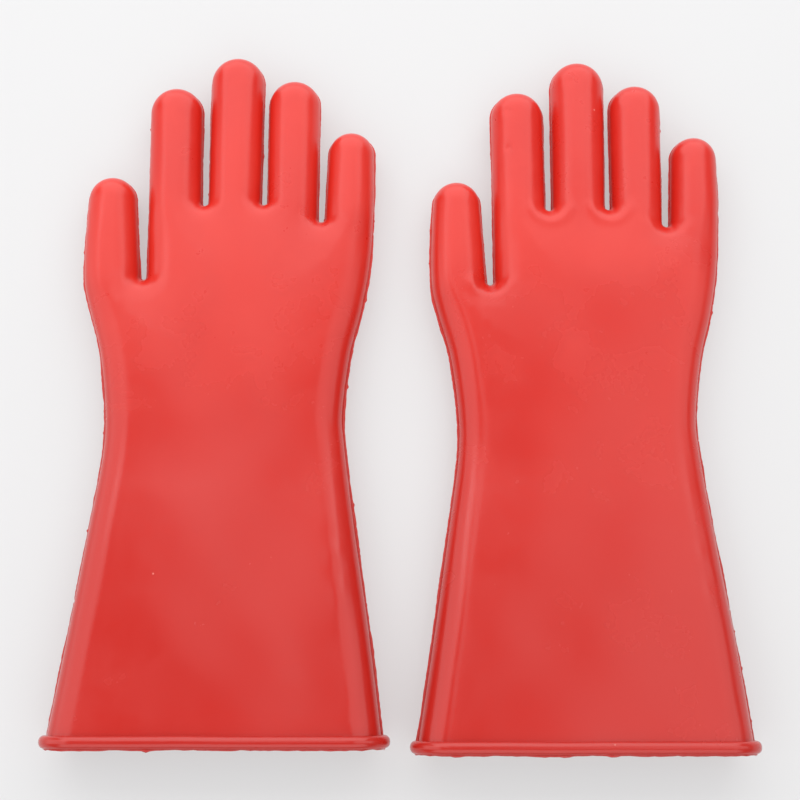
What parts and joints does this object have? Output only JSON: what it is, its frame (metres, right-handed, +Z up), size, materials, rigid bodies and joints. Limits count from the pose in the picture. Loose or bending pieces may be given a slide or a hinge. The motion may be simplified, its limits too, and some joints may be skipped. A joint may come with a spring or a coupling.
{
  "type": "electrical insulating gloves",
  "caption": "Pair of long moulded rubber insulating gloves with flared gauntlets and a rolled bead at the cuff, lying flat side by side, one palm down and one palm up.",
  "frame": {"origin": "on the ground below the middle of the pair's bounding box", "axes": "+Y from the cuffs towards the fingertips, +X from the right-hand glove to the left-hand glove, +Z up from the ground"},
  "size_m": [0.3978, 0.4108, 0.045],
  "materials": {
    "glove_rubber": "satin moulded rubber, smooth, red through its whole thickness",
    "bead_rubber": "satin moulded rubber, the same red as the shells"
  },
  "bodies": {
    "right_gauntlet": {"right_gauntlet_back": "glove_rubber", "right_gauntlet_palm": "glove_rubber", "right_cuff_bead": "bead_rubber"},
    "right_wrist": {"right_wrist_back": "glove_rubber", "right_wrist_palm": "glove_rubber"},
    "right_hand": {"right_hand_back": "glove_rubber", "right_hand_palm": "glove_rubber"},
    "right_thumb_root": {"right_thumb_root_back": "glove_rubber", "right_thumb_root_palm": "glove_rubber"},
    "right_thumb_tip": {"right_thumb_tip_back": "glove_rubber", "right_thumb_tip_palm": "glove_rubber"},
    "right_index_root": {"right_index_root_back": "glove_rubber", "right_index_root_palm": "glove_rubber"},
    "right_index_tip": {"right_index_tip_back": "glove_rubber", "right_index_tip_palm": "glove_rubber"},
    "right_middle_root": {"right_middle_root_back": "glove_rubber", "right_middle_root_palm": "glove_rubber"},
    "right_middle_tip": {"right_middle_tip_back": "glove_rubber", "right_middle_tip_palm": "glove_rubber"},
    "right_ring_root": {"right_ring_root_back": "glove_rubber", "right_ring_root_palm": "glove_rubber"},
    "right_ring_tip": {"right_ring_tip_back": "glove_rubber", "right_ring_tip_palm": "glove_rubber"},
    "right_little_root": {"right_little_root_back": "glove_rubber", "right_little_root_palm": "glove_rubber"},
    "right_little_tip": {"right_little_tip_back": "glove_rubber", "right_little_tip_palm": "glove_rubber"},
    "left_gauntlet": {"left_gauntlet_back": "glove_rubber", "left_gauntlet_palm": "glove_rubber", "left_cuff_bead": "bead_rubber"},
    "left_wrist": {"left_wrist_back": "glove_rubber", "left_wrist_palm": "glove_rubber"},
    "left_hand": {"left_hand_back": "glove_rubber", "left_hand_palm": "glove_rubber"},
    "left_thumb_root": {"left_thumb_root_back": "glove_rubber", "left_thumb_root_palm": "glove_rubber"},
    "left_thumb_tip": {"left_thumb_tip_back": "glove_rubber", "left_thumb_tip_palm": "glove_rubber"},
    "left_index_root": {"left_index_root_back": "glove_rubber", "left_index_root_palm": "glove_rubber"},
    "left_index_tip": {"left_index_tip_back": "glove_rubber", "left_index_tip_palm": "glove_rubber"},
    "left_middle_root": {"left_middle_root_back": "glove_rubber", "left_middle_root_palm": "glove_rubber"},
    "left_middle_tip": {"left_middle_tip_back": "glove_rubber", "left_middle_tip_palm": "glove_rubber"},
    "left_ring_root": {"left_ring_root_back": "glove_rubber", "left_ring_root_palm": "glove_rubber"},
    "left_ring_tip": {"left_ring_tip_back": "glove_rubber", "left_ring_tip_palm": "glove_rubber"},
    "left_little_root": {"left_little_root_back": "glove_rubber", "left_little_root_palm": "glove_rubber"},
    "left_little_tip": {"left_little_tip_back": "glove_rubber", "left_little_tip_palm": "glove_rubber"}
  },
  "joints": [
    {"name": "right_wrist_bend_back", "type": "hinge", "parent": "right_gauntlet", "child": "right_wrist", "pos_m": [-0.1023, -0.03805, 0.028], "axis": [1, 0, 0], "range_deg": [0, 45], "stiffness_Nm_per_rad": 2},
    {"name": "right_wrist_bend_in", "type": "hinge", "parent": "right_wrist", "child": "right_hand", "pos_m": [-0.1023, 0.01195, 0], "axis": [-1, 0, 0], "range_deg": [0, 60], "stiffness_Nm_per_rad": 2},
    {"name": "right_thumb_knuckle", "type": "hinge", "parent": "right_hand", "child": "right_thumb_root", "pos_m": [-0.171, 0.07395, 0], "axis": [-1, 0, 0], "range_deg": [0, 50], "stiffness_Nm_per_rad": 0.4},
    {"name": "right_thumb_middle", "type": "hinge", "parent": "right_thumb_root", "child": "right_thumb_tip", "pos_m": [-0.171, 0.10195, 0], "axis": [-1, 0, 0], "range_deg": [0, 70], "stiffness_Nm_per_rad": 0.2},
    {"name": "right_index_knuckle", "type": "hinge", "parent": "right_hand", "child": "right_index_root", "pos_m": [-0.1343, 0.11895, 0], "axis": [-1, 0, 0], "range_deg": [0, 80], "stiffness_Nm_per_rad": 0.4},
    {"name": "right_index_middle", "type": "hinge", "parent": "right_index_root", "child": "right_index_tip", "pos_m": [-0.1343, 0.15195, 0], "axis": [-1, 0, 0], "range_deg": [0, 90], "stiffness_Nm_per_rad": 0.2},
    {"name": "right_middle_knuckle", "type": "hinge", "parent": "right_hand", "child": "right_middle_root", "pos_m": [-0.0978, 0.11895, 0], "axis": [-1, 0, 0], "range_deg": [0, 80], "stiffness_Nm_per_rad": 0.4},
    {"name": "right_middle_middle", "type": "hinge", "parent": "right_middle_root", "child": "right_middle_tip", "pos_m": [-0.0978, 0.16295, 0], "axis": [-1, 0, 0], "range_deg": [0, 90], "stiffness_Nm_per_rad": 0.2},
    {"name": "right_ring_knuckle", "type": "hinge", "parent": "right_hand", "child": "right_ring_root", "pos_m": [-0.0634, 0.11895, 0], "axis": [-1, 0, 0], "range_deg": [0, 80], "stiffness_Nm_per_rad": 0.4},
    {"name": "right_ring_middle", "type": "hinge", "parent": "right_ring_root", "child": "right_ring_tip", "pos_m": [-0.0634, 0.15495, 0], "axis": [-1, 0, 0], "range_deg": [0, 90], "stiffness_Nm_per_rad": 0.2},
    {"name": "right_little_knuckle", "type": "hinge", "parent": "right_hand", "child": "right_little_root", "pos_m": [-0.0291, 0.10895, 0], "axis": [-1, 0, 0], "range_deg": [0, 80], "stiffness_Nm_per_rad": 0.4},
    {"name": "right_little_middle", "type": "hinge", "parent": "right_little_root", "child": "right_little_tip", "pos_m": [-0.0291, 0.13395, 0], "axis": [-1, 0, 0], "range_deg": [0, 90], "stiffness_Nm_per_rad": 0.2},
    {"name": "left_glove_lift", "type": "slide", "parent": "right_gauntlet", "child": "left_gauntlet", "axis": [0, 0, 1], "range_m": [0, 0.3]},
    {"name": "left_wrist_bend_back", "type": "hinge", "parent": "left_gauntlet", "child": "left_wrist", "pos_m": [0.1023, -0.04105, 0], "axis": [-1, 0, 0], "range_deg": [0, 45], "stiffness_Nm_per_rad": 2},
    {"name": "left_wrist_bend_in", "type": "hinge", "parent": "left_wrist", "child": "left_hand", "pos_m": [0.1023, 0.00895, 0.028], "axis": [1, 0, 0], "range_deg": [0, 60], "stiffness_Nm_per_rad": 2},
    {"name": "left_thumb_knuckle", "type": "hinge", "parent": "left_hand", "child": "left_thumb_root", "pos_m": [0.0336, 0.07095, 0.028], "axis": [1, 0, 0], "range_deg": [0, 50], "stiffness_Nm_per_rad": 0.4},
    {"name": "left_thumb_middle", "type": "hinge", "parent": "left_thumb_root", "child": "left_thumb_tip", "pos_m": [0.0336, 0.09895, 0.028], "axis": [1, 0, 0], "range_deg": [0, 70], "stiffness_Nm_per_rad": 0.2},
    {"name": "left_index_knuckle", "type": "hinge", "parent": "left_hand", "child": "left_index_root", "pos_m": [0.0703, 0.11595, 0.028], "axis": [1, 0, 0], "range_deg": [0, 80], "stiffness_Nm_per_rad": 0.4},
    {"name": "left_index_middle", "type": "hinge", "parent": "left_index_root", "child": "left_index_tip", "pos_m": [0.0703, 0.14895, 0.028], "axis": [1, 0, 0], "range_deg": [0, 90], "stiffness_Nm_per_rad": 0.2},
    {"name": "left_middle_knuckle", "type": "hinge", "parent": "left_hand", "child": "left_middle_root", "pos_m": [0.1068, 0.11595, 0.028], "axis": [1, 0, 0], "range_deg": [0, 80], "stiffness_Nm_per_rad": 0.4},
    {"name": "left_middle_middle", "type": "hinge", "parent": "left_middle_root", "child": "left_middle_tip", "pos_m": [0.1068, 0.15995, 0.028], "axis": [1, 0, 0], "range_deg": [0, 90], "stiffness_Nm_per_rad": 0.2},
    {"name": "left_ring_knuckle", "type": "hinge", "parent": "left_hand", "child": "left_ring_root", "pos_m": [0.1412, 0.11595, 0.028], "axis": [1, 0, 0], "range_deg": [0, 80], "stiffness_Nm_per_rad": 0.4},
    {"name": "left_ring_middle", "type": "hinge", "parent": "left_ring_root", "child": "left_ring_tip", "pos_m": [0.1412, 0.15195, 0.028], "axis": [1, 0, 0], "range_deg": [0, 90], "stiffness_Nm_per_rad": 0.2},
    {"name": "left_little_knuckle", "type": "hinge", "parent": "left_hand", "child": "left_little_root", "pos_m": [0.1755, 0.10595, 0.028], "axis": [1, 0, 0], "range_deg": [0, 80], "stiffness_Nm_per_rad": 0.4},
    {"name": "left_little_middle", "type": "hinge", "parent": "left_little_root", "child": "left_little_tip", "pos_m": [0.1755, 0.13095, 0.028], "axis": [1, 0, 0], "range_deg": [0, 90], "stiffness_Nm_per_rad": 0.2}
  ]
}
